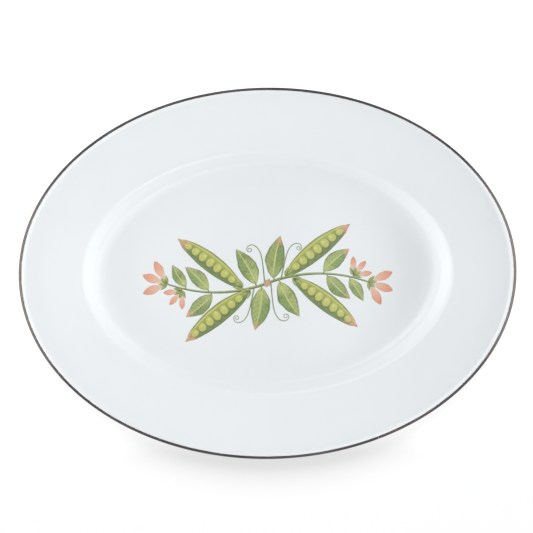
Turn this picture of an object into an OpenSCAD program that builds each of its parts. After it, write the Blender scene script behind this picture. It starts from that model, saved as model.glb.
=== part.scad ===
// Oval serving platter of enamelled pressed steel, with a crimped metal rim band
// and a fired-on transfer print of pods, leaves and buds in its well.
// It rests on its flat base: the origin is the centre of the base and +Z is up.

/* [Oval outline] */
// Length of the platter over the rim band
platter_length = 406; // [360:1:460]
// Width of the platter over the rim band
platter_width = 303; // [280:1:330]

/* [Pressed profile] */
// Radius of the gentle rise round the edge of the flat well
dish_radius = 45; // [30:1:60]
// Slope that the gentle rise reaches
dish_angle = 16; // [10:1:20]
// Radius of the bend from the gentle rise into the wall
well_radius = 8; // [6:0.5:12]
// Steepest angle of the wall
wall_angle = 40; // [34:1:50]
// Length of the straight stretch of the wall
wall_length = 8; // [5:0.5:11]
// Radius of the bend from the wall out onto the flange
shoulder_radius = 6; // [4:0.5:8]
// Slope of the flange beside the shoulder
flange_angle = 8; // [5:1:12]
// Length of the flange along its slope
flange_length = 45; // [35:1:52]
// Extra slope that the flange gains by its outer edge
flange_lift = 1; // [0:0.5:4]
// Radius of the upturned lip
lip_radius = 12; // [8:0.5:20]
// Angle by which the lip turns up from the flange
lip_turn = 24; // [12:1:30]

/* [Sheet and coats] */
// Thickness of the steel sheet
steel_thickness = 0.8; // [0.5:0.05:1.2]
// Thickness of the dark ground coat on each face
ground_thickness = 0.15; // [0.12:0.01:0.3]
// Thickness of the white cover coat on each face
cover_thickness = 0.2; // [0.15:0.01:0.4]

/* [Rim band] */
// Thickness of the strip that the rim band is rolled from
band_wall = 0.3; // [0.2:0.05:0.6]
// Length of lip that each leg of the band grips
band_grip = 0.6; // [0.4:0.1:2]
// Gap between the two ends of the band
seam_gap = 0.3; // [0.1:0.05:1]
// Direction in which the band's seam faces
seam_angle = -70; // [-72:1:-38]

/* [Transfer print] */
// Thickness of the fired transfer
print_thickness = 0.05; // [0.04:0.01:0.1]
// Length of one spray's stem
stem_length = 84; // [76:1:88]
// Radius of the stem's bend
stem_radius = 120; // [110:1:150]
// Width of the stem
stem_width = 2.4; // [1.6:0.1:3]
// Angle at which a stem leaves the knot
stem_heading = 20; // [16:1:24]
// Diameter of the knot where the two stems meet
knot_diameter = 6; // [4:0.5:7]
// Length of a pod
pod_length = 68; // [56:1:72]
// Width of a pod
pod_width = 16; // [12:0.5:16.5]
// Length of a large leaf
leaf_length = 34; // [26:1:36]
// Width of a large leaf
leaf_width = 15; // [11:0.5:15.5]
// Length of a bud's petal
petal_length = 18; // [14:0.5:19]
// Width of a bud's petal
petal_width = 7; // [5:0.5:7.5]
// Angle between neighbouring petals of a bud
petal_spread = 42; // [40:1:46]
// Clear gap between a stem and what grows from it
print_gap = 0.8; // [0.5:0.1:1.2]
// Clear gap between a bud's root and its petals
bud_gap = 3.2; // [2.8:0.1:4]
// Distance of the print from the middle of the well, towards +Y
print_shift = -8; // [-14:1:14]
// Mean of the length and width of the flat well that the print is drawn for
drawn_size = 198.53; // [185:0.01:225]

/* [Hidden] */
$fn = 180;
white_enamel = "#F1F4F5";
dark_frit = "#22273A";
bare_steel = "#8A8D90";
rim_steel = "#4A4446";
stem_green = "#5E8138";
leaf_green = "#6F8F45";
pod_green = "#A4B04A";
bud_pink = "#E1A488";

// Stack of coats about the middle of the sheet
sheet_face = steel_thickness / 2;
ground_face = sheet_face + ground_thickness;
cover_face = ground_face + cover_thickness;
nose_radius = cover_face + band_wall;

// Pressed profile from the edge of the flat well outwards, each stretch as [length, turn]
degree = PI / 180;
grip_turn = band_grip / lip_radius / degree;
profile = [
    [dish_radius * dish_angle * degree, dish_angle],
    [well_radius * (wall_angle - dish_angle) * degree, wall_angle - dish_angle],
    [wall_length, 0],
    [shoulder_radius * (wall_angle - flange_angle) * degree, flange_angle - wall_angle],
    [flange_length, flange_lift],
    [lip_radius * (lip_turn - grip_turn) * degree, lip_turn - grip_turn],
    [band_grip, grip_turn]
];
// Largest angle between the points of a bend, and the fewest steps of one
bend_angle = 6;
least_steps = 3;

// A station is [distance outwards, height, slope]. Points lie on a grid of a thousandth of a millimetre,
// so that neighbouring stretches of the oval meet exactly.
function grid(v, step = 0.001) = round(v / step) * step;
function moved(at, piece, share) =
    let (length = piece[0] * share, turn = piece[1] * share)
    let (slope = at[2], end_slope = slope + turn)
    turn == 0 ? [at[0] + length * cos(slope), at[1] + length * sin(slope), slope]
    : let (r = length / (turn * degree))
      [at[0] + r * (sin(end_slope) - sin(slope)), at[1] + r * (cos(slope) - cos(end_slope)), end_slope];
function steps(piece) = piece[1] == 0 ? 1 : max(least_steps, ceil(abs(piece[1]) / bend_angle));
function stations(pieces, at, i = 0) =
    i == len(pieces) ? [at]
    : let (n = steps(pieces[i]))
      concat([for (k = [0 : n - 1]) moved(at, pieces[i], k / n)],
             stations(pieces, moved(at, pieces[i], 1), i + 1));
function beside(at, distance) = [grid(at[0] - distance * sin(at[2])), grid(at[1] + distance * cos(at[2]))];
function reversed(list) = [for (i = [len(list) - 1 : -1 : 0]) list[i]];

wall_stations = stations(profile, [0, cover_face, 0]);
edge = wall_stations[len(wall_stations) - 1];
grip_steps = steps(profile[len(profile) - 1]);
grip_stations = [for (i = [len(wall_stations) - 1 - grip_steps : len(wall_stations) - 1]) wall_stations[i]];

// Horizontal reach of the profile, from the edge of the flat well to the rim's outermost point
reach_step = 0.025;
reach = grid(edge[0] + nose_radius, reach_step);
rim_height = edge[1] + nose_radius;

// The oval: eight tangent arcs that follow an ellipse. They join in the directions of a 3-4-5 triangle
// and of twice its angle, so the joints have exact coordinates. The end arcs are a little fuller than
// the ellipse's own ends, which evens out what is left between the two curves.
end_joint = [0.8, 0.6];
side_joint = [0.28, 0.96];
end_ratio = 1.03;
radius_step = 0.05;
half_length = platter_length / 2;
half_width = platter_width / 2;
end_radius = grid(end_ratio * half_width * half_width / half_length, radius_step);
length_left = half_length - (1 - end_joint[0]) * end_radius;
width_left = half_width - end_joint[1] * end_radius;
middle_share = [end_joint[0] - side_joint[0], side_joint[1] - end_joint[1]];
side_share = [side_joint[0], 1 - side_joint[1]];
determinant = middle_share[0] * side_share[1] - middle_share[1] * side_share[0];
exact_middle = (length_left * side_share[1] - width_left * side_share[0]) / determinant;
exact_side = (middle_share[0] * width_left - middle_share[1] * length_left) / determinant;
middle_radius = grid(exact_middle, radius_step);
side_radius = grid(exact_side, radius_step);
middle_centre_x = (side_radius - middle_radius) * side_joint[0];
end_centre_x = middle_centre_x + (middle_radius - end_radius) * end_joint[0];
middle_centre_y = -(middle_radius - end_radius) * end_joint[1];
side_centre_y = middle_centre_y - (side_radius - middle_radius) * side_joint[1];

// Each arc, in turn round the oval: [centre, radius, direction of its first end, direction of its last end]
function flipped_x(p) = [-p[0], p[1]];
function flipped_y(p) = [p[0], -p[1]];
half_oval = [
    [[end_centre_x, 0], end_radius, flipped_y(end_joint), end_joint],
    [[middle_centre_x, middle_centre_y], middle_radius, end_joint, side_joint],
    [[0, side_centre_y], side_radius, side_joint, flipped_x(side_joint)],
    [[-middle_centre_x, middle_centre_y], middle_radius, flipped_x(side_joint), flipped_x(end_joint)]
];
arcs = concat(half_oval, [for (a = half_oval) [-a[0], a[1], -a[2], -a[3]]]);
seam_arc = arcs[7];

// Flat margin that an arc of the well carries, just wide enough to lap under the straight-sided floor
floor_lap = 2;
function half_sweep_cosine(arc) = sqrt((1 + arc[2] * arc[3]) / 2);
function floor_margin(arc) = grid((arc[1] - reach) * (1 - half_sweep_cosine(arc)) + 2 * floor_lap);

// Wedge of one arc, tall enough to cut any piece of the platter. It is opened by a hair at both sides,
// so that neighbouring stretches overlap and don't only touch.
wedge_size = 2 * platter_length;
wedge_hair = 2e-7;
function turned_left(p) = [-p[1], p[0]];
module wedge(arc) {
    middle = (arc[2] + arc[3]) / norm(arc[2] + arc[3]);
    translate([arc[0][0], arc[0][1], -rim_height])
        linear_extrude(3 * rim_height)
            polygon([[0, 0],
                     wedge_size * (arc[2] - wedge_hair * turned_left(arc[2])),
                     wedge_size * middle,
                     wedge_size * (arc[3] + wedge_hair * turned_left(arc[3]))]);
}

// Revolves an outline of [distance outwards, height] through one arc of the oval
module round_arc(arc, outline)
    intersection() {
        translate([arc[0][0], arc[0][1], 0])
            rotate_extrude()
                translate([arc[1] - reach, 0])
                    polygon(outline);
        wedge(arc);
    }

// Flat middle of the well, straight-sided inside the swept margin
module well_floor(low, high) {
    translate([0, 0, low])
        linear_extrude(high - low)
            polygon([for (arc = arcs) arc[0] + (arc[1] - reach - floor_lap) * arc[2]]);
}

// One layer of the pressed sheet between two distances from its middle
module layer(low, high) {
    for (arc = arcs) {
        sheet_stations = concat([[-floor_margin(arc), cover_face, 0]], wall_stations);
        round_arc(arc, concat([for (s = sheet_stations) beside(s, high)],
                              reversed([for (s = sheet_stations) beside(s, low)])));
    }
    well_floor(grid(cover_face + low), grid(cover_face + high));
}

module steel_shell() color(bare_steel) layer(-sheet_face, sheet_face);
module face_ground_coat() color(dark_frit) layer(sheet_face, ground_face);
module back_ground_coat() color(dark_frit) layer(-ground_face, -sheet_face);
module face_white_coat() color(white_enamel) layer(ground_face, cover_face);
module back_white_coat() color(white_enamel) layer(-cover_face, -ground_face);

// Round nose of the band about the sheet's edge, from the face side (+1) to the back side (-1) or back
nose_steps = 12;
function nose(radius, side) =
    [for (k = [1 : nose_steps - 1])
        let (a = edge[2] + side * (90 - 180 * k / nose_steps))
        [grid(edge[0] + radius * cos(a)), grid(edge[1] + radius * sin(a))]];
function leg(distance) = [for (s = grip_stations) beside(s, distance)];

module rim_band() color(rim_steel)
    difference() {
        for (arc = arcs)
            round_arc(arc, concat(leg(nose_radius), nose(nose_radius, 1), reversed(leg(-nose_radius)),
                                  leg(-cover_face), nose(cover_face, -1), reversed(leg(cover_face))));
        translate([seam_arc[0][0], seam_arc[0][1], 0])
            rotate(seam_angle)
                translate([seam_arc[1] - reach, -seam_gap / 2, 0])
                    cube([2 * reach, seam_gap, 2 * rim_height]);
    }

// Scale of the print: it shrinks or grows with the mean of the flat well's length and width
print_share = sqrt((platter_length - 2 * reach) * (platter_width - 2 * reach)) / drawn_size;

// Point and heading at a distance along the right-hand stem, which starts in the knot and bends down
function stem_slope(s) = stem_heading - s / stem_radius / degree;
function stem_point(s) = [stem_radius * (sin(stem_heading) - sin(stem_slope(s))),
                          stem_radius * (cos(stem_slope(s)) - cos(stem_heading))];

// What grows on one stem: how far along the stem, on which side, at what angle to it, and at what
// share of full size
leaf_distances = [5, 9, 46, 49, 68];
leaf_sides = [1, -1, 1, -1, -1];
leaf_angles = [62, 76, 42, 42, 46];
leaf_shares = [1.05, 0.98, 0.84, 0.8, 0.64];
pod_distances = [15, 21];
pod_sides = [1, -1];
pod_angles = [25, 48];
pod_shares = [1, 0.98];
bud_distances = [71, stem_length];
bud_sides = [1, 0];
bud_angles = [62, 0];
bud_shares = [0.68, 1];

// Pointed oval from the origin along +X, at the print's scale
module lens(length, width) {
    round_radius = (length * length + width * width) / (4 * width);
    intersection_for (side = [1, -1])
        translate(print_share * [length / 2, side * (round_radius - width / 2)])
            circle(print_share * round_radius);
}

// Puts its children where a growth leaves the stem, pointing along it
module growing(distance, side, angle) {
    slope = stem_slope(distance);
    direction = slope + side * angle;
    root = stem_point(distance) + side * stem_width / 2 * [-sin(slope), cos(slope)];
    translate(print_share * (root + print_gap * [cos(direction), sin(direction)]))
        rotate(direction)
            children();
}

// Prints its children on the face of the well
module printed() translate([0, print_share * print_shift, 2 * cover_face]) linear_extrude(print_thickness) children();

// Two sprays, one turned half round
module sprays() {
    for (turn = [0, 180])
        rotate(turn)
            children();
}

stem_centre = print_share * stem_radius * [sin(stem_heading), -cos(stem_heading)];
function from_stem_centre(s, distance) =
    stem_centre + print_share * distance * [-sin(stem_slope(s)), cos(stem_slope(s))];

module stem() {
    intersection() {
        translate(stem_centre)
            difference() {
                circle(print_share * (stem_radius + stem_width / 2));
                circle(print_share * (stem_radius - stem_width / 2));
            }
        polygon([stem_centre, from_stem_centre(stem_length, 2 * stem_radius),
                 from_stem_centre(knot_diameter / 4, 2 * stem_radius)]);
    }
}

module stem_transfer() color(stem_green)
    printed() {
        circle(d = print_share * knot_diameter);
        sprays() stem();
    }

module leaf_transfer() color(leaf_green)
    printed() sprays()
        for (i = [0 : len(leaf_distances) - 1])
            growing(leaf_distances[i], leaf_sides[i], leaf_angles[i])
                lens(leaf_length * leaf_shares[i], leaf_width * leaf_shares[i]);

module pod_transfer() color(pod_green)
    printed() sprays()
        for (i = [0 : len(pod_distances) - 1])
            growing(pod_distances[i], pod_sides[i], pod_angles[i])
                lens(pod_length * pod_shares[i], pod_width * pod_shares[i]);

module petal_transfer() color(bud_pink)
    printed() sprays()
        for (i = [0 : len(bud_distances) - 1], spread = [-1, 0, 1])
            growing(bud_distances[i], bud_sides[i], bud_angles[i])
                rotate(spread * petal_spread)
                    translate([print_share * bud_gap, 0])
                        lens(petal_length * bud_shares[i], petal_width * bud_shares[i]);

steel_shell();
face_ground_coat();
back_ground_coat();
face_white_coat();
back_white_coat();
rim_band();
stem_transfer();
leaf_transfer();
pod_transfer();
petal_transfer();
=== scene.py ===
# Dresses the oval enamelled platter: fired coats, rim band, transfer print, studio and camera.
import math

import bmesh
import bpy
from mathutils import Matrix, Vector, noise


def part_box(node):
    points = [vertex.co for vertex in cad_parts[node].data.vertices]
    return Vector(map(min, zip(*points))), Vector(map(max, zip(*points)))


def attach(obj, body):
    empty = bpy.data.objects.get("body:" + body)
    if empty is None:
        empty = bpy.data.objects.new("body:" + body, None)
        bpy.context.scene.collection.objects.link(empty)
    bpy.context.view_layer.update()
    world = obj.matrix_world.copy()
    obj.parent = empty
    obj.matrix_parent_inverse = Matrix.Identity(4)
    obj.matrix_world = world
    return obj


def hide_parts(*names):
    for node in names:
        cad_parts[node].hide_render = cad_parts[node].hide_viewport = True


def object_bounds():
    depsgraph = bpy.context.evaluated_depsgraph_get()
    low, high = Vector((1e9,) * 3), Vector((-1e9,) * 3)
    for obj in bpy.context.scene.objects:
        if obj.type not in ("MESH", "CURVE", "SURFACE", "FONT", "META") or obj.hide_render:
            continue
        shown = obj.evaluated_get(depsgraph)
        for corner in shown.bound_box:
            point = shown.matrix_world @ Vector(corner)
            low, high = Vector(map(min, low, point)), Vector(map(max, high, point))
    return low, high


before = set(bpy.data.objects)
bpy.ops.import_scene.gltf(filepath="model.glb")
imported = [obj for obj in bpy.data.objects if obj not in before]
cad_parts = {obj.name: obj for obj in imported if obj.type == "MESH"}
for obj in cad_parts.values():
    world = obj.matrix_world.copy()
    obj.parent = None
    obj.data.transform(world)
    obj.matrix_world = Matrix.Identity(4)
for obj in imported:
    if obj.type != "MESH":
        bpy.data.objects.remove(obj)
cadBox = [list(corner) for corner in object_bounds()]
mm = 0.001
print("frame loaded:", len(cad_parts), "nodes")


# Small tools for shapes

def smoothStep(value, low, high):
    share = min(1.0, max(0.0, (value - low) / (high - low)))
    return share * share * (3 - 2 * share)


sharpFrom = 42       # degrees, where a fold is shaded as a crisp edge


def addPiece(name, verts, faces, finishes, uvs=None, values=None, faceSlots=None):
    mesh = bpy.data.meshes.new(name)
    mesh.from_pydata(verts, [], faces)
    if uvs:
        layer = mesh.uv_layers.new(name="UVMap")
        for loop in mesh.loops:
            layer.data[loop.index].uv = uvs[loop.vertex_index]
    for label, numbers in (values or {}).items():
        mesh.attributes.new(label, "FLOAT", "POINT").data.foreach_set("value", numbers)
    for finish in finishes:
        mesh.materials.append(finish)
    if faceSlots:
        mesh.polygons.foreach_set("material_index", faceSlots)
    form = bmesh.new()
    form.from_mesh(mesh)
    bmesh.ops.recalc_face_normals(form, faces=form.faces)
    form.to_mesh(mesh)
    form.free()
    mesh.shade_smooth()
    mesh.set_sharp_from_angle(angle=math.radians(sharpFrom))
    piece = bpy.data.objects.new(name, mesh)
    bpy.context.scene.collection.objects.link(piece)
    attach(piece, "root")
    return piece


# Small tools for finishes

def fromScreen(red, green, blue):
    def straight(level):
        level /= 255
        return level / 12.92 if level <= 0.04045 else ((level + 0.055) / 1.055) ** 2.4
    return straight(red), straight(green), straight(blue), 1.0


def wire(tree, socket, value):
    if isinstance(value, bpy.types.NodeSocket):
        tree.links.new(value, socket)
    else:
        socket.default_value = value


def sums(tree, operation, first, second=0.0, third=0.0):
    node = tree.nodes.new("ShaderNodeMath")
    node.operation = operation
    for socket, value in zip(node.inputs, (first, second, third)):
        wire(tree, socket, value)
    return node.outputs[0]


def ramped(tree, value, low, high, start=0.0, end=1.0):
    node = tree.nodes.new("ShaderNodeMapRange")
    node.interpolation_type = "SMOOTHSTEP"
    for socket, given in zip(node.inputs, (value, low, high, start, end)):
        wire(tree, socket, given)
    return node.outputs[0]


def vectors(tree, operation, first, second=(0, 0, 0)):
    node = tree.nodes.new("ShaderNodeVectorMath")
    node.operation = operation
    wire(tree, node.inputs[0], first)
    wire(tree, node.inputs[1], second)
    return node.outputs


def axes(tree, place):
    node = tree.nodes.new("ShaderNodeSeparateXYZ")
    wire(tree, node.inputs[0], place)
    return node.outputs


def blended(tree, share, first, second, mode="MIX"):
    node = tree.nodes.new("ShaderNodeMix")
    node.data_type = "RGBA"
    node.blend_type = mode
    for index, value in ((0, share), (6, first), (7, second)):
        wire(tree, node.inputs[index], value)
    return node.outputs[2]


def clouded(tree, place, scale, detail=2.0, roughness=0.5):
    node = tree.nodes.new("ShaderNodeTexNoise")
    wire(tree, node.inputs["Vector"], place)
    for label, value in (("Scale", scale), ("Detail", detail), ("Roughness", roughness)):
        node.inputs[label].default_value = value
    return node.outputs["Fac"]


def celled(tree, place, scale):
    node = tree.nodes.new("ShaderNodeTexVoronoi")
    wire(tree, node.inputs["Vector"], place)
    node.inputs["Scale"].default_value = scale
    return node.outputs


def stretched(tree, place, amounts):
    node = tree.nodes.new("ShaderNodeMapping")
    wire(tree, node.inputs["Vector"], place)
    node.inputs["Scale"].default_value = amounts
    return node.outputs[0]


def measured(tree, label):
    node = tree.nodes.new("ShaderNodeAttribute")
    node.attribute_name = label
    return node.outputs["Fac"]


def bumped(tree, shader, height, depth, strength):          # the depth is in mm
    node = tree.nodes.new("ShaderNodeBump")
    node.inputs["Strength"].default_value = strength
    node.inputs["Distance"].default_value = depth * mm
    wire(tree, node.inputs["Height"], height)
    wire(tree, shader.inputs["Normal"], node.outputs[0])


def newFinish(name, metallic=0.0, ior=1.5):
    finish = bpy.data.materials.new(name)
    finish.use_nodes = True
    tree = finish.node_tree
    shader = tree.nodes["Principled BSDF"]
    shader.inputs["Metallic"].default_value = metallic
    shader.inputs["IOR"].default_value = ior
    places = tree.nodes.new("ShaderNodeTexCoord")
    return finish, tree, shader, places.outputs


# Camera: straight above the platter, turned by the platter's own tilt in the picture

view = {
    "imageSize": 533,            # pixels
    "pixelsPerMetre": 1227.0,    # at the height of the rim
    "distance": 1.8,             # metres from the rim to the lens
    "platterAt": (267.5, 273.3), # pixel of the platter's centre
    "tilt": 0.78,                # degrees, right end higher
    "sensor": 36.0,              # mm
    "clipEnd": 50,               # metres
}
lens = bpy.data.cameras.new("overheadLens")
lens.sensor_width = view["sensor"]
lens.lens = view["pixelsPerMetre"] * view["distance"] / view["imageSize"] * view["sensor"]
lens.clip_end = view["clipEnd"]
overhead = bpy.data.objects.new("overhead", lens)
bpy.context.scene.collection.objects.link(overhead)
middle = view["imageSize"] / 2
overhead.location = (-(view["platterAt"][0] - middle) / view["pixelsPerMetre"],
                     (view["platterAt"][1] - middle) / view["pixelsPerMetre"],
                     cadBox[1][2] + view["distance"])
overhead.rotation_euler = (0, 0, -math.radians(view["tilt"]))
bpy.context.scene.camera = overhead
print("camera: lens", round(lens.lens, 1))


# Pressed sheet and its coats

sheet = {            # sizes in mm and degrees
    "dishBend": 45.0, "dishSlope": 16.0, "wellBend": 8.0, "wallAngle": 40.0, "wallRun": 8.0,
    "shoulderBend": 6.0, "flangeSlope": 8.0, "flangeRun": 45.0, "flangeLift": 1.0,
    "lipBend": 12.0, "lipTurn": 24.0,
    "steel": 0.8, "ground": 0.15, "cover": 0.2,
    "bandWall": 0.3, "bandGrip": 0.6,
    "roundSteps": 360, "bendStep": 2.0, "leastSteps": 3, "flangeSteps": 14, "floorRings": 12,
    "warpHeight": 0.12, "warpWave": 70.0,    # faint waves that firing leaves in the sheet
    "warpFade": (55.0, 65.0),        # outwards from the flat well, since the lip and band stay true
}
halfLength = (cadBox[1][0] - cadBox[0][0]) / 2
halfWidth = (cadBox[1][1] - cadBox[0][1]) / 2
steelFace = sheet["steel"] / 2 * mm
groundFace = steelFace + sheet["ground"] * mm
coverFace = groundFace + sheet["cover"] * mm
noseRadius = coverFace + sheet["bandWall"] * mm


def pressedStations():
    gripTurn = math.degrees(sheet["bandGrip"] / sheet["lipBend"])
    freeTurn = sheet["lipTurn"] - gripTurn
    liftTurn = sheet["wallAngle"] - sheet["dishSlope"]
    dropTurn = sheet["flangeSlope"] - sheet["wallAngle"]
    stretches = (       # length in mm, turn in degrees, steps
        (sheet["dishBend"] * math.radians(sheet["dishSlope"]), sheet["dishSlope"], 0),
        (sheet["wellBend"] * math.radians(liftTurn), liftTurn, 0),
        (sheet["wallRun"], 0, sheet["leastSteps"]),
        (sheet["shoulderBend"] * math.radians(-dropTurn), dropTurn, 0),
        (sheet["flangeRun"], sheet["flangeLift"], sheet["flangeSteps"]),
        (sheet["lipBend"] * math.radians(freeTurn), freeTurn, 0),
        (sheet["bandGrip"], gripTurn, sheet["leastSteps"]),
    )
    run, rise, slope = 0.0, coverFace, 0.0
    stations = [(run, rise, slope)]
    for length, turn, steps in stretches:
        steps = steps or max(sheet["leastSteps"], math.ceil(abs(turn) / sheet["bendStep"]))
        for step in range(steps):
            part, bend = length / steps * mm, math.radians(turn / steps)
            heading = slope + bend / 2
            chord = part if bend == 0 else part * math.sin(bend / 2) / (bend / 2)
            run += chord * math.cos(heading)
            rise += chord * math.sin(heading)
            slope += bend
            stations.append((run, rise, slope))
    return stations


stations = pressedStations()
gripStations = stations[-1 - sheet["leastSteps"]:]       # the part of the lip that the band holds
edge = stations[-1]
reach = edge[0] + noseRadius


def beside(station, distance):
    run, rise, slope = station
    return run - distance * math.sin(slope), rise + distance * math.cos(slope)


def warp(x, y, run):
    fade = 1 - smoothStep(run / mm, *sheet["warpFade"])
    wave = noise.noise(Vector((x, y, 0)) / (sheet["warpWave"] * mm))
    return sheet["warpHeight"] * mm * (0.5 + 0.5 * wave) * fade


def ovalPoint(angle, run, rise, share=1.0):
    c, s = math.cos(angle), math.sin(angle)
    size = math.hypot(halfLength * c, halfWidth * s)
    x = share * (halfLength ** 2 * c / size - (reach - run) * c)
    y = share * (halfWidth ** 2 * s / size - (reach - run) * s)
    return x, y, rise + warp(x, y, run)


def sweptCoat(name, low, high, finish):
    rings = sheet["floorRings"]
    shares = [ring / rings for ring in range(1, rings)]
    outward = [(share, beside(stations[0], high)) for share in shares]
    outward += [(1.0, beside(station, high)) for station in stations]
    inward = [(1.0, beside(station, low)) for station in reversed(stations)]
    inward += [(share, beside(stations[0], low)) for share in reversed(shares)]
    path = outward + inward
    count = sheet["roundSteps"]
    verts, runs, faces = [], [], []
    for share, (run, rise) in path:
        for step in range(count):
            verts.append(ovalPoint(2 * math.pi * step / count, run, rise, share))
            runs.append(run * share)
    for ring in range(len(path) - 1):
        for step in range(count):
            after = (step + 1) % count
            first, second = ring * count, (ring + 1) * count
            faces.append((first + step, second + step, second + after, first + after))
    for ring, offset in ((0, high), (len(path) - 1, low)):      # close the middle of each face
        verts.append(ovalPoint(0, 0, coverFace + offset, 0))
        runs.append(0.0)
        for step in range(count):
            faces.append((len(verts) - 1, ring * count + step, ring * count + (step + 1) % count))
    return addPiece(name, verts, faces, [finish], values={"outward": runs})


enamel = {
    "milk": (0.800, 0.822, 0.830, 1), "cool": (0.782, 0.808, 0.820, 1), "thin": (0.60, 0.65, 0.71, 1),
    "ior": 1.52, "gloss": (0.13, 0.19),          # roughness, least and most
    "thinFrom": (3.2, 1.9),                      # mm in from the edge, where the coat runs thin
    "speck": (0.22, 0.20, 0.19, 1), "speckCell": 55.0,
    "speckSize": (0.008, 0.020), "speckShare": (0.90, 0.93),     # few cells hold a pinhole
    "rippleScale": 95.0, "peelScale": 620.0, "peelShare": 0.10, "bump": (0.05, 0.6),     # mm and strength
    "pinsAt": 44.0, "pinTurns": (90, 210, 330), "pinSize": (0.9, 1.5),   # mm out from the well, degrees, mm
    "scuffs": (40, 700, 40), "scuffsTo": (0.5, 2.0), "scuffRough": 0.25,     # on the base, to mm out from it
}
frit = {
    "dark": (0.014, 0.018, 0.036, 1), "pale": (0.030, 0.036, 0.060, 1),
    "bubbles": 900, "bump": (0.02, 0.4),
}
rawSteel = {
    "dark": (0.30, 0.31, 0.32, 1), "pale": (0.47, 0.48, 0.49, 1),
    "grain": (60, 1400, 60), "bump": (0.01, 0.5),
}


def whiteEnamel(name, onPins):
    finish, tree, shader, places = newFinish(name, ior=enamel["ior"])
    spot = places["Object"]
    outward = measured(tree, "outward")
    body = blended(tree, clouded(tree, spot, 16, 3), enamel["milk"], enamel["cool"])
    lipEdge = ramped(tree, outward, *(reach - inset * mm for inset in enamel["thinFrom"]))
    patches = ramped(tree, clouded(tree, spot, 220, 3), 0.3, 0.7, 0.15, 0.45)
    body = blended(tree, sums(tree, "MULTIPLY", lipEdge, patches), body, enamel["thin"])
    cells = celled(tree, spot, enamel["speckCell"])
    lot = sums(tree, "FRACT", sums(tree, "MULTIPLY", cells["Color"], 7.3))   # a cell's own number
    dot = ramped(tree, cells["Distance"], *enamel["speckSize"], 1, 0)
    pinhole = sums(tree, "MULTIPLY", dot, ramped(tree, lot, *enamel["speckShare"]))
    body = blended(tree, sums(tree, "MULTIPLY", pinhole, 0.55), body, enamel["speck"])
    gloss = ramped(tree, clouded(tree, spot, 70, 3), 0.25, 0.75, *enamel["gloss"])
    if onPins:       # small marks where the firing pins stood, under the flange, and a scuffed base
        marks = 0.0
        pinStation = min(stations, key=lambda station: abs(station[0] - enamel["pinsAt"] * mm))
        for turn in enamel["pinTurns"]:
            pin = ovalPoint(math.radians(turn), *beside(pinStation, -coverFace))
            away = vectors(tree, "DISTANCE", spot, pin)["Value"]
            mark = ramped(tree, away, *(size * mm for size in enamel["pinSize"]), 1, 0)
            marks = sums(tree, "MAXIMUM", marks, mark)
        body = blended(tree, sums(tree, "MULTIPLY", marks, 0.7), body, enamel["speck"])
        scuffs = clouded(tree, stretched(tree, spot, enamel["scuffs"]), 1, 3)
        base = ramped(tree, outward, *(run * mm for run in enamel["scuffsTo"]), 1, 0)
        rubbedAndHighlight = sums(tree, "MULTIPLY", ramped(tree, scuffs, 0.62, 0.72), base)
        gloss = sums(tree, "MULTIPLY_ADD", rubbedAndHighlight, enamel["scuffRough"], gloss)
    wire(tree, shader.inputs["Base Color"], body)
    wire(tree, shader.inputs["Roughness"], gloss)
    ripple = clouded(tree, spot, enamel["rippleScale"], 1)
    peel = clouded(tree, spot, enamel["peelScale"], 1)
    waves = sums(tree, "MULTIPLY_ADD", peel, enamel["peelShare"], ripple)
    bumped(tree, shader, sums(tree, "SUBTRACT", waves, pinhole), *enamel["bump"])
    return finish


def groundEnamel():
    finish, tree, shader, places = newFinish("groundFrit")
    spot = places["Object"]
    bubbles = celled(tree, spot, frit["bubbles"])["Distance"]
    body = blended(tree, clouded(tree, spot, 40, 4), frit["dark"], frit["pale"])
    wire(tree, shader.inputs["Base Color"], body)
    wire(tree, shader.inputs["Roughness"], ramped(tree, bubbles, 0.1, 0.5, 0.45, 0.2))
    bumped(tree, shader, bubbles, *frit["bump"])
    return finish


def bareSteel():
    finish, tree, shader, places = newFinish("pressedSteel", metallic=1.0)
    grain = clouded(tree, stretched(tree, places["Object"], rawSteel["grain"]), 1, 4)
    wire(tree, shader.inputs["Base Color"], blended(tree, grain, rawSteel["dark"], rawSteel["pale"]))
    wire(tree, shader.inputs["Roughness"], ramped(tree, grain, 0.2, 0.8, 0.32, 0.5))
    bumped(tree, shader, grain, *rawSteel["bump"])
    return finish


groundFinish = groundEnamel()
faceFinish = whiteEnamel("faceEnamel", onPins=False)
backFinish = whiteEnamel("backEnamel", onPins=True)
coats = (        # piece, node, slot, distance of its under face and of its upper face from the sheet's middle
    ("pressedSheet", "steel_shell", "sheet_steel", -steelFace, steelFace, bareSteel()),
    ("faceGround", "face_ground_coat", "ground_enamel", steelFace, groundFace, groundFinish),
    ("backGround", "back_ground_coat", "ground_enamel", -groundFace, -steelFace, groundFinish),
    ("faceWhite", "face_white_coat", "white_enamel", groundFace, coverFace, faceFinish),
    ("backWhite", "back_white_coat", "white_enamel", -coverFace, -groundFace, backFinish),
)
shining = []         # pieces that mirror the white cards
for name, node, slot, low, high, finish in coats:
    coat = sweptCoat(name, low, high, finish)
    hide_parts(node)
    shining += [coat] if slot == "white_enamel" else []
print("coats:", len(coats), "layers, reach", round(reach / mm, 2), "mm")


# Rim band, crimped over the edge of the sheet with one butt seam

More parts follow.
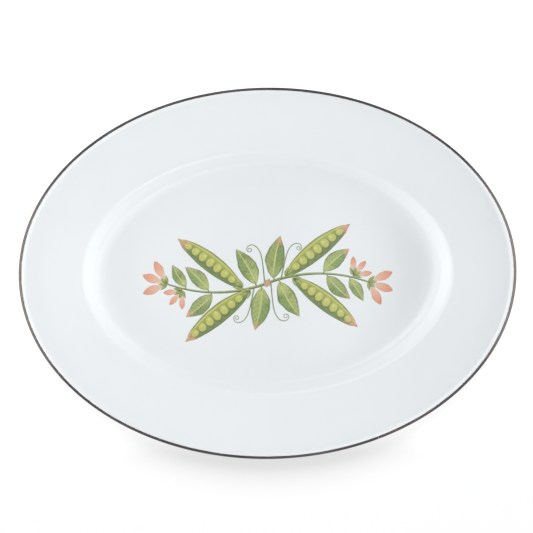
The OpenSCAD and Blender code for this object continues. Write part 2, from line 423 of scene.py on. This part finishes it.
band = {
    "seamGap": 0.3, "seamAngle": -70.0,      # mm and degrees
    "seamRadius": 196.0,                     # mm, taken for the rim's curve at the seam
    "noseSteps": 18, "hemSteps": 6, "roundSteps": 720,
    "crimpDepth": 0.10, "crimpWave": 9.0,    # mm, how unevenly the legs were rolled down
    "streaks": (25, 9, 1), "bump": (0.02, 0.35),
    "dark": (0.045, 0.038, 0.038, 1), "worn": (0.078, 0.066, 0.064, 1), "soot": (0.018, 0.015, 0.016, 1),
    # the lighter band colour at the two ends is a painted highlight
    "rubbedAndHighlight": (0.175, 0.150, 0.133, 1), "endHighlightShare": 0.8,
    "endHighlightFrom": (0.165, 0.203),            # metres to the left and right of the middle, where the band's ends turn lighter as a painted highlight
}


def rimSteel():
    finish, tree, shader, places = newFinish("rimSteel", metallic=1.0)
    streaks = clouded(tree, stretched(tree, places["UV"], band["streaks"]), 1, 5, 0.6)
    patina = clouded(tree, places["Object"], 60, 4)
    body = blended(tree, ramped(tree, streaks, 0.3, 0.7), band["dark"], band["worn"])
    body = blended(tree, ramped(tree, patina, 0.55, 0.75, 0, 0.6), body, band["soot"])
    # painted highlight: the band is coloured lighter towards its left and right ends
    sideways = sums(tree, "ABSOLUTE", axes(tree, places["Object"])["X"])
    paintedEndHighlight = ramped(tree, sideways, *band["endHighlightFrom"], 0.0, band["endHighlightShare"])
    body = blended(tree, paintedEndHighlight, body, band["rubbedAndHighlight"])
    wire(tree, shader.inputs["Base Color"], body)
    wire(tree, shader.inputs["Roughness"], ramped(tree, streaks, 0.2, 0.8, 0.34, 0.20))
    bumped(tree, shader, streaks, *band["bump"])
    return finish


def rolledBand():
    wall = sheet["bandWall"] * mm
    slope = edge[2]

    def legAt(side, distance):
        return [beside(station, side * distance) + (0.0,) for station in gripStations]

    def noseAt(radius):
        points = []
        for step in range(1, band["noseSteps"]):
            turn = slope + math.pi / 2 - math.pi * step / band["noseSteps"]
            points.append((edge[0] + radius * math.cos(turn), edge[1] + radius * math.sin(turn), 0.0))
        return points

    def hemAt(side):         # rounded raw edge of a leg, from its outside to its inside
        start = gripStations[0]
        centre = beside(start, side * (coverFace + wall / 2))
        points = []
        for step in range(1, band["hemSteps"]):
            turn = math.pi * step / band["hemSteps"]
            back, out = math.sin(turn) * wall / 2, math.cos(turn) * side * wall / 2
            points.append((centre[0] - back * math.cos(start[2]) - out * math.sin(start[2]),
                           centre[1] - back * math.sin(start[2]) + out * math.cos(start[2]), 1.0))
        return points

    outer = legAt(1, noseRadius) + noseAt(noseRadius) + legAt(-1, noseRadius)[::-1]
    inner = legAt(1, coverFace) + noseAt(coverFace) + legAt(-1, coverFace)[::-1]
    loop = outer + hemAt(-1) + inner[::-1] + hemAt(1)[::-1]
    size, count = len(loop), band["roundSteps"]
    spare = band["seamGap"] / 2 / band["seamRadius"]    # half the gap as an angle
    first = math.radians(band["seamAngle"]) + spare
    verts, uvs, faces = [], [], []
    length, before = 0.0, None
    for step in range(count + 1):
        angle = first + (2 * math.pi - 2 * spare) * step / count
        here = Vector(ovalPoint(angle, reach, edge[1]))
        length += (here - before).length if before else 0.0
        before = here
        crimp = noise.noise(Vector((length / (band["crimpWave"] * mm), 0.5, 2.0))) * band["crimpDepth"] * mm
        for index, (run, rise, loose) in enumerate(loop):
            shift = crimp * loose
            verts.append(ovalPoint(angle, run + shift * math.cos(slope), rise + shift * math.sin(slope)))
            uvs.append((length, index / size))
    for step in range(count):
        for index in range(size):
            after = (index + 1) % size
            low, high = step * size, (step + 1) * size
            faces.append((low + index, low + after, high + after, high + index))
    wide, hem = len(outer), band["hemSteps"] - 1
    for start in (0, count * size):                     # the two cut ends at the seam
        innerAt = [start + wide + hem + wide - 1 - index for index in range(wide)]
        for index in range(wide - 1):
            faces.append((start + index, start + index + 1, innerAt[index + 1], innerAt[index]))
        faces.append([start + wide - 1 + index for index in range(hem + 2)])
        faces.append([start + 2 * wide + hem - 1 + index for index in range(hem + 1)] + [start])
    return addPiece("rimBand", verts, faces, [rimSteel()], uvs=uvs)


rim = rolledBand()
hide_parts("rim_band")
shining.append(rim)
print("rim band:", len(rim.data.polygons), "faces")


# Transfer print: two sprays of pods, leaves and buds on the floor of the well

spray = {
    "thickness": 0.05, "stemLength": 84.0, "stemBend": 120.0, "stemHeading": 20.0,   # mm and degrees
    "stemWidth": 2.4, "stemEnd": 1.3, "stemSteps": 60,
    "leafStalk": (1.0, 0.6), "podStalk": (1.3, 1.2), "budStalk": (1.2, 1.4),     # widths at the two ends
    "stalkSteps": 6,
    "caps": ((-34, 7.5), (34, 7.5), (0, 9.0)), "capWidth": 3.0,  # turn and length of the sepals on a pod
    "budSepals": (-62, -21, 21, 62), "sepalLength": 7.6, "sepalWidth": 2.8,
    "budReach": 7.0,                         # how near to each other the petals of one bud start
    "budRoot": 3.0,                          # how far below the petals their sepals start
    "tendrils": (        # distance along the stem, side, angle to it, length, how far it curls in degrees
        (2.6, -1, 104, 53.0, -560), (11.6, 1, 63, 50.0, -560),
    ),
    "tendrilWidth": 1.0, "tendrilEnd": 0.5, "tendrilSteps": 90,
    "tendrilHook": 5.0,                      # the higher the hook, the later it curls
    "levels": {          # mm, so that one colour lies over another
        "stem": 0.003, "stalk": 0.006, "tendril": 0.009, "sepal": 0.012, "straw": 0.015,
    },
    "leastHalf": 0.12,                       # half the width at a pointed end
    "litFrom": (-0.35, 0.94),                # upper left in the picture
    "bump": (0.01, 0.4),
}
inks = {
    "leafLight": fromScreen(164, 176, 109), "leafMid": fromScreen(133, 156, 90),
    "leafDark": fromScreen(87, 103, 56), "deep": fromScreen(69, 72, 32),
    "limeLight": fromScreen(202, 205, 130), "lime": fromScreen(194, 195, 101),
    "podMid": fromScreen(163, 168, 70), "podDark": fromScreen(111, 131, 72),
    "shell": fromScreen(229, 194, 171), "coral": fromScreen(225, 164, 136),
    "coralDeep": fromScreen(208, 135, 107), "bark": fromScreen(163, 117, 82),
}
printBox = [Vector(corner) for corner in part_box("stem_transfer")]
sprayCentre = ((printBox[0] + printBox[1]) / 2).to_2d()
printFloor = 2 * coverFace           # the white face of the well


def stemPoint(distance, turn):
    heading = math.radians(spray["stemHeading"])
    slope = heading - distance / (spray["stemBend"] * mm)
    x = spray["stemBend"] * mm * (math.sin(heading) - math.sin(slope))
    y = spray["stemBend"] * mm * (math.cos(slope) - math.cos(heading))
    sign = -1 if turn else 1
    return sprayCentre + sign * Vector((x, y)), slope + (math.pi if turn else 0)


def halfStem(turn):
    steps = spray["stemSteps"]
    return [stemPoint(spray["stemLength"] * mm * step / steps, turn)[0] for step in range(steps + 1)]


stemLine = halfStem(0) + halfStem(1)


def nearestStem(point):
    return min(stemLine, key=lambda other: (other - point).length)


def printIslands(node):
    form = bmesh.new()
    form.from_mesh(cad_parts[node].data)
    bmesh.ops.remove_doubles(form, verts=form.verts, dist=1e-6)
    left, islands = set(form.verts), []
    while left:
        reached, edgeVerts = set(), [left.pop()]
        while edgeVerts:
            vert = edgeVerts.pop()
            reached.add(vert)
            for link in vert.link_edges:
                other = link.other_vert(vert)
                if other in left:
                    left.discard(other)
                    edgeVerts.append(other)
        flat = [vert.co.to_2d() for vert in reached]
        centre = sum(flat, Vector((0, 0))) / len(flat)
        tip = max(flat, key=lambda point: (point - centre).length)
        base = max(flat, key=lambda point: (point - tip).length)
        if (nearestStem(tip) - tip).length < (nearestStem(base) - base).length:
            base, tip = tip, base
        axis = (tip - base).normalized()
        width = 2 * max(abs(axis.cross(point - base)) for point in flat)
        islands.append({"base": base, "tip": tip, "width": width})
    form.free()
    islands.sort(key=lambda island: (round(island["base"].x, 5), round(island["base"].y, 5)))
    return islands


def newSheetOfInk():
    return {"verts": [], "faces": [], "uvs": [], "tints": [], "slots": []}


def layInk(ink, rows, tint, level=0.0, slot=0):     # a closed thin patch of fired colour on the well
    along, across = len(rows), len(rows[0])
    start = len(ink["verts"])
    for lift in ((spray["thickness"] + level) * mm, 0.0):
        for i, row in enumerate(rows):
            for j, point in enumerate(row):
                ink["verts"].append((point.x, point.y, printFloor + warp(point.x, point.y, 0) + lift))
                ink["uvs"].append((i / (along - 1), j / (across - 1)))
                ink["tints"].append(tint)

    def at(i, j, under):
        return start + under * along * across + i * across + j

    before = len(ink["faces"])
    for i in range(along - 1):
        for j in range(across - 1):
            for under in (0, 1):
                corners = ((i, j), (i + 1, j), (i + 1, j + 1), (i, j + 1))
                ink["faces"].append([at(k, l, under) for k, l in corners])
    border = [(i, 0) for i in range(along)] + [(along - 1, j) for j in range(1, across)]
    border += [(i, across - 1) for i in range(along - 2, -1, -1)] + [(0, j) for j in range(across - 2, 0, -1)]
    for (i, j), (k, l) in zip(border, border[1:] + border[:1]):
        ink["faces"].append((at(i, j, 0), at(k, l, 0), at(k, l, 1), at(i, j, 1)))
    ink["slots"] += [slot] * (len(ink["faces"]) - before)


def litSide(axis):          # sideways direction that faces the upper left of the picture
    side = Vector((-axis.y, axis.x))
    return side if side.dot(Vector(spray["litFrom"])) > 0 else -side


def bladeRows(base, tip, width, outline, bend=0.0, ripple=0.0, seed=0.0, along=28, across=8):
    axis = tip - base
    length = axis.length
    axis = axis / length
    side = litSide(axis)
    rows = []
    for i in range(along + 1):
        u = i / along
        half = max(width / 2 * outline(u), spray["leastHalf"] * mm)
        centre = base + axis * length * u + side * (bend * length * math.sin(math.pi * u))
        row = []
        for j in range(across + 1):
            v = 2 * j / across - 1
            uneven = 1 + ripple * noise.noise(Vector((u * 6, 3 * (v > 0), seed)))
            row.append(centre + side * (half * v * uneven))
        rows.append(row)
    return rows


def strokeRows(points, startWidth, endWidth, across=4):
    rows = []
    for i, point in enumerate(points):
        ahead, behind = points[min(i + 1, len(points) - 1)], points[max(i - 1, 0)]
        axis = (ahead - behind).normalized()
        side = Vector((-axis.y, axis.x))
        half = (startWidth + (endWidth - startWidth) * i / (len(points) - 1)) / 2
        rows.append([point + side * (half * (2 * j / across - 1)) for j in range(across + 1)])
    return rows


def leafOutline(u):
    return math.sin(math.pi * u ** 0.86) ** 0.92


def podOutline(u):
    return 0.96 * math.sin(math.pi * u ** 0.94) ** 0.62 * (1 - 0.55 * smoothStep(u, 0.90, 1.0))


def petalOutline(u):
    return math.sin(math.pi * u ** 1.25) ** 0.8


def sepalOutline(u):
    return math.sin(math.pi * u ** 0.7) ** 0.9


def strawOutline(u):
    return math.sin(math.pi * u) ** 0.35


def turned(axis, degrees):
    c, s = math.cos(math.radians(degrees)), math.sin(math.radians(degrees))
    return Vector((c * axis.x - s * axis.y, s * axis.x + c * axis.y))


def layStalk(root, end, widths, tint):
    steps = spray["stalkSteps"]
    points = [root.lerp(end, step / steps) for step in range(steps + 1)]
    layInk(stemInk, strokeRows(points, *(width * mm for width in widths)), tint, spray["levels"]["stalk"])


def laySepal(root, end, width, tint):
    rows = bladeRows(root, end, width * mm, sepalOutline, along=14, across=6)
    layInk(leafInk, rows, tint, spray["levels"]["sepal"])


leafInk, podInk, petalInk, stemInk = (newSheetOfInk() for _ in range(4))
leafIslands, podIslands, petalIslands = (printIslands(node) for node in
                                         ("leaf_transfer", "pod_transfer", "petal_transfer"))

for index, island in enumerate(leafIslands):
    base, tip = island["base"], island["tip"]
    tint = (index * 0.37) % 1
    bend = 0.035 * (1 if index % 2 else -1)
    layInk(leafInk, bladeRows(base, tip, island["width"], leafOutline, bend, 0.10, index), tint)
    layStalk(nearestStem(base), base + (tip - base) * 0.10, spray["leafStalk"], tint)

for index, island in enumerate(podIslands):
    base, tip = island["base"], island["tip"]
    axis = (tip - base).normalized()
    tint = (index * 0.41 + 0.2) % 1
    layInk(podInk, bladeRows(base, tip, island["width"], podOutline, 0.012, 0.03, index, 48, 12), tint)
    layStalk(nearestStem(base), base + axis * 2.0 * mm, spray["podStalk"], tint)
    for turn, size in spray["caps"]:         # small green cap at the pod's stalk
        laySepal(base - axis * 0.4 * mm, base + turned(axis, turn) * size * mm, spray["capWidth"], tint)

for index, island in enumerate(petalIslands):
    base, tip = island["base"], island["tip"]
    tint = (index * 0.29 + 0.1) % 1
    layInk(petalInk, bladeRows(base, tip, island["width"], petalOutline, 0.0, 0.08, index), tint)

buds = []
for island in petalIslands:
    for bud in buds:
        if (bud[0]["base"] - island["base"]).length < spray["budReach"] * mm:
            bud.append(island)
            break
    else:
        buds.append([island])
for index, bud in enumerate(buds):
    heart = sum((petal["base"] for petal in bud), Vector((0, 0))) / len(bud)
    growth = sum(((petal["tip"] - petal["base"]).normalized() for petal in bud), Vector((0, 0))).normalized()
    root = heart - growth * spray["budRoot"] * mm
    layStalk(nearestStem(root), heart, spray["budStalk"], 0.4)
    for turn in spray["budSepals"]:
        end = root + turned(growth, turn) * spray["sepalLength"] * mm
        laySepal(root, end, spray["sepalWidth"], (index * 0.3 + turn * 0.01) % 1)

wholeStem = halfStem(1)[:0:-1] + halfStem(0)
stemRows = strokeRows(wholeStem, spray["stemWidth"] * mm, spray["stemWidth"] * mm)
for i, row in enumerate(stemRows):          # thinner towards both ends
    outwardShare = abs(2 * i / (len(stemRows) - 1) - 1)
    keep = 1 + (spray["stemEnd"] / spray["stemWidth"] - 1) * outwardShare
    stemRows[i] = [wholeStem[i] + (point - wholeStem[i]) * keep for point in row]
layInk(stemInk, stemRows, 0.5, spray["levels"]["stem"])

for turn in (0, 1):
    for distance, side, angle, length, curl in spray["tendrils"]:
        place, slope = stemPoint(distance * mm, turn)
        heading, points, steps = slope + side * math.radians(angle), [place], spray["tendrilSteps"]
        for step in range(steps):
            share = (step + 0.5) / steps
            bent = heading + side * math.radians(curl) * share ** spray["tendrilHook"]
            points.append(points[-1] + Vector((math.cos(bent), math.sin(bent))) * length * mm / steps)
        rows = strokeRows(points, spray["tendrilWidth"] * mm, spray["tendrilEnd"] * mm, 2)
        layInk(stemInk, rows, 0.8, spray["levels"]["tendril"])

knot = {             # mm and degrees, and the bend as a share of the length
    "wraps": 4, "length": 6.0, "width": 1.5, "pitch": 1.25, "lean": 78.0, "bend": 0.04,
    "along": 14, "across": 6,                # steps of its mesh
}
heading = math.radians(spray["stemHeading"])
for wrap in range(knot["wraps"]):           # straw that ties the two stems at the middle
    shift = (wrap - (knot["wraps"] - 1) / 2) * knot["pitch"] * mm
    place = sprayCentre + Vector((math.cos(heading), math.sin(heading))) * shift
    lean = heading + math.radians(knot["lean"])
    arm = Vector((math.cos(lean), math.sin(lean))) * knot["length"] * mm / 2
    rows = bladeRows(place - arm, place + arm, knot["width"] * mm, strawOutline, knot["bend"],
                     along=knot["along"], across=knot["across"])
    layInk(stemInk, rows, wrap / knot["wraps"], spray["levels"]["straw"], slot=1)


def printFinish(name):
    finish, tree, shader, places = newFinish(name)
    patch = axes(tree, places["UV"])
    spot = places["Object"]
    parts = {            # u runs along a patch and v across it
        "u": patch["X"], "v": patch["Y"], "tint": measured(tree, "tint"), "spot": spot,
        "wash": clouded(tree, spot, 130, 4, 0.6), "grain": clouded(tree, spot, 1500, 2),
    }
    parts["wander"] = sums(tree, "SUBTRACT", clouded(tree, spot, 300, 3), 0.5)
    parts["rimward"] = sums(tree, "ABSOLUTE", sums(tree, "MULTIPLY_ADD", parts["v"], 2.0, -1.0))
    return finish, tree, shader, parts


def endPrint(tree, shader, parts, body):        # pigment grain and the soft gloss of a fired transfer
    speckled = ramped(tree, parts["grain"], 0.25, 0.75, 0.88, 1.06)
    shade = tree.nodes.new("ShaderNodeCombineXYZ")
    for socket in shade.inputs:
        wire(tree, socket, speckled)
    wire(tree, shader.inputs["Base Color"], blended(tree, 1.0, body, shade.outputs[0], "MULTIPLY"))
    wire(tree, shader.inputs["Roughness"], ramped(tree, parts["wash"], 0.3, 0.7, 0.12, 0.22))
    bumped(tree, shader, parts["grain"], *spray["bump"])


def wandering(tree, parts, label, amount):
    return sums(tree, "MULTIPLY_ADD", parts["wander"], amount, parts[label])


def leafPaint():
    finish, tree, shader, parts = printFinish("leafInk")
    upper = ramped(tree, wandering(tree, parts, "v", 0.3), 0.38, 0.60)
    body = blended(tree, upper, inks["leafMid"], inks["leafLight"])
    body = blended(tree, ramped(tree, parts["wash"], 0.48, 0.72, 0, 0.65), body, inks["leafDark"])
    young = ramped(tree, wandering(tree, parts, "u", 0.4), 0.05, 0.45, 0.65, 0)
    body = blended(tree, young, body, inks["limeLight"])
    body = blended(tree, ramped(tree, parts["tint"], 0.3, 0.9, 0, 0.3), body, inks["podDark"])
    sweep = sums(tree, "MULTIPLY_ADD", parts["u"], 9.0, sums(tree, "MULTIPLY", parts["rimward"], -1.5))
    veins = sums(tree, "PINGPONG", sums(tree, "ADD", sweep, parts["tint"]), 0.5)
    body = blended(tree, ramped(tree, veins, 0.02, 0.10, 0.6, 0), body, inks["leafDark"])
    edgeTone = ramped(tree, wandering(tree, parts, "rimward", 0.25), 0.74, 0.98, 0, 0.75)
    body = blended(tree, edgeTone, body, inks["leafDark"])
    body = blended(tree, ramped(tree, parts["rimward"], 0.04, 0.11, 0.85, 0), body, inks["limeLight"])
    blush = ramped(tree, wandering(tree, parts, "u", 0.5), 0.74, 1.0, 0, 0.8)
    blush = sums(tree, "MULTIPLY", blush, ramped(tree, parts["tint"], 0.2, 0.6))
    body = blended(tree, blush, body, inks["coral"])
    endPrint(tree, shader, parts, body)
    return finish


def podPaint():
    finish, tree, shader, parts = printFinish("podInk")
    upper = ramped(tree, wandering(tree, parts, "v", 0.2), 0.15, 0.85)
    body = blended(tree, upper, inks["podDark"], inks["podMid"])
    body = blended(tree, ramped(tree, parts["wash"], 0.45, 0.75, 0, 0.5), body, inks["leafDark"])
    peas, first, last, soft = 7, 0.11, 0.90, 0.02
    count = sums(tree, "MULTIPLY_ADD", parts["u"], peas / (last - first), -first * peas / (last - first))
    cell = sums(tree, "SUBTRACT", sums(tree, "FRACT", count), 0.5)
    begun = ramped(tree, count, -soft, soft)
    inside = sums(tree, "MULTIPLY", begun, ramped(tree, count, peas - soft, peas + soft, 1, 0))
    level = sums(tree, "MULTIPLY_ADD", parts["v"], 2.0, -1.0)

    def awayFrom(along, across):
        x = sums(tree, "DIVIDE", sums(tree, "SUBTRACT", cell, along), 0.46)
        y = sums(tree, "DIVIDE", sums(tree, "SUBTRACT", level, across), 0.56)
        return sums(tree, "SQRT", sums(tree, "MULTIPLY_ADD", x, x, sums(tree, "MULTIPLY", y, y)))

    pea = sums(tree, "MULTIPLY", ramped(tree, awayFrom(0, 0), 0.78, 1.08, 1, 0), inside)
    groove = sums(tree, "MULTIPLY", ramped(tree, awayFrom(0.04, -0.12), 0.9, 1.3, 0.75, 0), inside)
    body = blended(tree, groove, body, inks["leafDark"])
    body = blended(tree, sums(tree, "MULTIPLY", pea, 0.9), body, inks["lime"])
    lit = sums(tree, "MULTIPLY", ramped(tree, awayFrom(-0.12, 0.22), 0.05, 0.62, 1, 0), inside)
    body = blended(tree, sums(tree, "MULTIPLY", lit, 0.85), body, inks["limeLight"])
    seam = ramped(tree, sums(tree, "ABSOLUTE", sums(tree, "SUBTRACT", parts["v"], 0.86)), 0.015, 0.05, 0.8, 0)
    body = blended(tree, seam, body, inks["limeLight"])
    edgeTone = ramped(tree, wandering(tree, parts, "rimward", 0.12), 0.84, 0.99, 0, 0.85)
    body = blended(tree, edgeTone, body, inks["leafDark"])
    blush = ramped(tree, wandering(tree, parts, "u", 0.3), 0.80, 0.97, 0, 0.75)
    body = blended(tree, blush, body, inks["coral"])
    body = blended(tree, ramped(tree, parts["u"], 0.955, 0.985, 0, 0.9), body, inks["bark"])
    endPrint(tree, shader, parts, body)
    return finish


def petalPaint():
    finish, tree, shader, parts = printFinish("petalInk")
    along = wandering(tree, parts, "u", 0.4)
    body = blended(tree, ramped(tree, along, 0.15, 0.75), inks["shell"], inks["coral"])
    fibres = clouded(tree, parts["spot"], 420, 3)
    lines = sums(tree, "PINGPONG", sums(tree, "MULTIPLY_ADD", parts["v"], 5.0, fibres), 0.5)
    body = blended(tree, ramped(tree, lines, 0.05, 0.22, 0.6, 0), body, inks["coralDeep"])
    body = blended(tree, ramped(tree, along, 0.72, 1.0, 0, 0.85), body, inks["coralDeep"])
    body = blended(tree, ramped(tree, parts["u"], 0.02, 0.25, 0.85, 0), body, inks["limeLight"])
    edgeTone = ramped(tree, wandering(tree, parts, "rimward", 0.2), 0.80, 0.99, 0, 0.8)
    body = blended(tree, edgeTone, body, inks["coralDeep"])
    endPrint(tree, shader, parts, body)
    return finish


def stemPaint():
    finish, tree, shader, parts = printFinish("stemInk")
    upper = ramped(tree, wandering(tree, parts, "v", 0.5), 0.25, 0.75)
    body = blended(tree, upper, inks["leafDark"], inks["leafLight"])
    body = blended(tree, ramped(tree, parts["wash"], 0.5, 0.7, 0, 0.6), body, inks["podDark"])
    body = blended(tree, ramped(tree, parts["rimward"], 0.80, 0.98, 0, 0.7), body, inks["leafDark"])
    body = blended(tree, ramped(tree, parts["tint"], 0.75, 0.80, 0, 0.75), body, inks["podDark"])
    endPrint(tree, shader, parts, body)
    return finish


def strawPaint():
    finish, tree, shader, parts = printFinish("strawInk")
    upper = ramped(tree, wandering(tree, parts, "v", 0.4), 0.2, 0.8)
    body = blended(tree, upper, inks["bark"], inks["shell"])
    body = blended(tree, ramped(tree, parts["rimward"], 0.7, 0.98, 0, 0.9), body, inks["deep"])
    endPrint(tree, shader, parts, body)
    return finish


for name, ink, finishes, node, slot in (
        ("stemPrint", stemInk, [stemPaint(), strawPaint()], "stem_transfer", "stem_print"),
        ("leafPrint", leafInk, [leafPaint()], "leaf_transfer", "leaf_print"),
        ("podPrint", podInk, [podPaint()], "pod_transfer", "pod_print"),
        ("petalPrint", petalInk, [petalPaint()], "petal_transfer", "petal_print")):
    transfer = addPiece(name, ink["verts"], ink["faces"], finishes, uvs=ink["uvs"],
                        values={"tint": ink["tints"]}, faceSlots=ink["slots"])
    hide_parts(node)
    shining.append(transfer)
print("print:", len(leafIslands), "leaves,", len(podIslands), "pods,", len(buds), "buds")


# Studio: pale floor, soft boxes and white cards for the platter, a lamp for the floor's shadow, a surround

studio = {
    "floorSize": 8.0, "floorColour": (0.30, 0.30, 0.302, 1), "floorRough": 0.9,
    "floorDrop": 0.02,               # mm below the platter's base
    "floorWhite": (0.652, 0.86),     # strength of the seen white before the platter and beside it
    "shadowFrom": (-0.155, -0.125),  # metres along y, from the one to the other
    "paintedShadeUnder": 0.42,              # strength of the seen white below the platter, kept low as painted shade
    "paintedShadeFrom": (0.62, 1.0),        # shares of the platter's half sizes, where the painted shade below the platter turns to the floor around it
    "whiteFrom": (0.27, 0.75),       # metres from the platter's middle, where the floor turns white
    "surround": (0.09, 0.61),        # strength at the horizon and overhead
    "surroundColour": (0.96, 0.985, 1.0, 1),
    "lampAway": 1.2,                 # metres from the platter's middle
    "boxes": (       # name, lean to the right and turn about the upright in degrees, size, brightness
        ("sideRight", 75, 0, (2.0, 0.40), 2.15), ("lowRight", 82, 0, (2.0, 0.26), 10.3),
        ("highLeft", -35, 0, (2.0, 0.45), 2.4), ("lowLeft", -82, 0, (2.0, 0.26), 10.1),
    ),
    "cards": (       # the same, for white cards that only show in the gloss
        ("topRight", 17, -16, (4.4, 0.21), 1.7), ("slantRight", 27, -16, (4.4, 0.21), 2.95),
        ("topLeft", -17, -16, (4.4, 0.21), 2.3), ("slantLeft", -27, -16, (4.4, 0.21), 2.6),
        ("overRight", 5, 0, (1.2, 0.105), 1.85), ("overLeft", -5, 0, (1.2, 0.105), 0.9),
        ("overFarLeft", -10, 0, (1.2, 0.105), 1.6),
    ),
    "cardFade": (0.1, 1.0),          # shares of a card's half length
    "shadowSize": (1.6, 1.2), "shadowAt": (-0.05, 1.10, 1.35), "shadowPower": 40.0,
}
scene = bpy.context.scene
scene.view_settings.view_transform = "Standard"


def seenRays(tree):         # 1 for what the camera sees, straight, in a gloss or through glass
    rays = tree.nodes.new("ShaderNodeLightPath")
    seen = sums(tree, "MAXIMUM", rays.outputs["Is Camera Ray"], rays.outputs["Is Glossy Ray"])
    return sums(tree, "MAXIMUM", seen, rays.outputs["Is Transmission Ray"])


def paleFloor():
    half = studio["floorSize"] / 2
    corners = [(-half, -half, 0), (half, -half, 0), (half, half, 0), (-half, half, 0)]
    mesh = bpy.data.meshes.new("paleFloor")
    mesh.from_pydata(corners, [], [(0, 1, 2, 3)])
    finish = bpy.data.materials.new("paleFloor")
    finish.use_nodes = True
    tree = finish.node_tree
    shader = tree.nodes["Principled BSDF"]
    shader.inputs["Base Color"].default_value = studio["floorColour"]
    shader.inputs["Roughness"].default_value = studio["floorRough"]
    shader.inputs["Specular IOR Level"].default_value = 0.0
    shader.inputs["Emission Color"].default_value = (1, 1, 1, 1)
    spot = tree.nodes.new("ShaderNodeTexCoord").outputs["Object"]
    near = ramped(tree, axes(tree, spot)["Y"], *studio["shadowFrom"], *studio["floorWhite"])
    shares = vectors(tree, "DIVIDE", spot, (halfLength, halfWidth, 1))["Vector"]
    share = vectors(tree, "LENGTH", shares)["Value"]         # 1 at the platter's edge
    # painted shade: the seen white is lowered below the platter, so the floor under its flange shows dark
    under = ramped(tree, share, *studio["paintedShadeFrom"], studio["paintedShadeUnder"], near)
    white = ramped(tree, vectors(tree, "LENGTH", spot)["Value"], *studio["whiteFrom"], under, 1.0)
    wire(tree, shader.inputs["Emission Strength"], sums(tree, "MULTIPLY", seenRays(tree), white))
    mesh.materials.append(finish)
    floor = bpy.data.objects.new("paleFloor", mesh)
    scene.collection.objects.link(floor)
    floor.location.z = -studio["floorDrop"] * mm
    return floor


def areaLamp(name, place, size, power, receivers, onBody=True):
    lamp = bpy.data.lights.new(name, "AREA")
    lamp.shape = "RECTANGLE"
    lamp.size, lamp.size_y = size
    lamp.energy = power
    lamp.cycles.use_multiple_importance_sampling = not onBody    # so cards don't change the boxes' light
    holder = bpy.data.objects.new(name, lamp)
    scene.collection.objects.link(holder)
    holder.location = place
    holder.rotation_euler = (-Vector(place)).to_track_quat("-Z", "Y").to_euler()
    holder.visible_camera = False
    holder.visible_diffuse = onBody
    holder.visible_glossy = not onBody
    holder.light_linking.receiver_collection = receivers
    if not onBody:           # a card fades towards its ends
        lamp.use_nodes = True
        tree = lamp.node_tree
        along = axes(tree, tree.nodes.new("ShaderNodeNewGeometry").outputs["Parametric"])["X"]
        away = sums(tree, "ABSOLUTE", sums(tree, "MULTIPLY_ADD", along, 2.0, -1.0))
        fade = ramped(tree, away, *studio["cardFade"], 1.0, 0.0)
        wire(tree, tree.nodes["Emission"].inputs["Strength"], fade)


floor = paleFloor()
offFloor = bpy.data.collections.new("offFloor")         # lamps that leave the floor alone
offFloor.objects.link(floor)
offFloor.collection_objects[0].light_linking.link_state = "EXCLUDE"
onFloor = bpy.data.collections.new("onFloor")           # the lamp that only lights the floor
onFloor.objects.link(floor)
onShine = bpy.data.collections.new("onShine")           # the white cards, for the outer pieces alone
for piece in shining:
    onShine.objects.link(piece)
for lamps, receivers, onBody in ((studio["boxes"], offFloor, True), (studio["cards"], onShine, False)):
    for name, lean, turn, size, brightness in lamps:
        lean, turn = math.radians(lean), math.radians(turn)
        outward = studio["lampAway"] * math.sin(lean)
        place = (outward * math.cos(turn), outward * math.sin(turn), studio["lampAway"] * math.cos(lean))
        areaLamp(name, place, size, brightness * math.pi * size[0] * size[1], receivers, onBody)
areaLamp("shadowLamp", studio["shadowAt"], studio["shadowSize"], studio["shadowPower"], onFloor)

world = bpy.data.worlds.new("surround")
scene.world = world
world.use_nodes = True
air = world.node_tree
sky = air.nodes["Background"]
sky.inputs["Color"].default_value = studio["surroundColour"]
upward = axes(air, air.nodes.new("ShaderNodeTexCoord").outputs["Generated"])["Z"]
height = ramped(air, upward, 0.0, 1.0, *studio["surround"])
wire(air, sky.inputs["Strength"], sums(air, "MAXIMUM", seenRays(air), height))
print("studio ready:", len(studio["boxes"]), "boxes,", len(studio["cards"]), "cards")
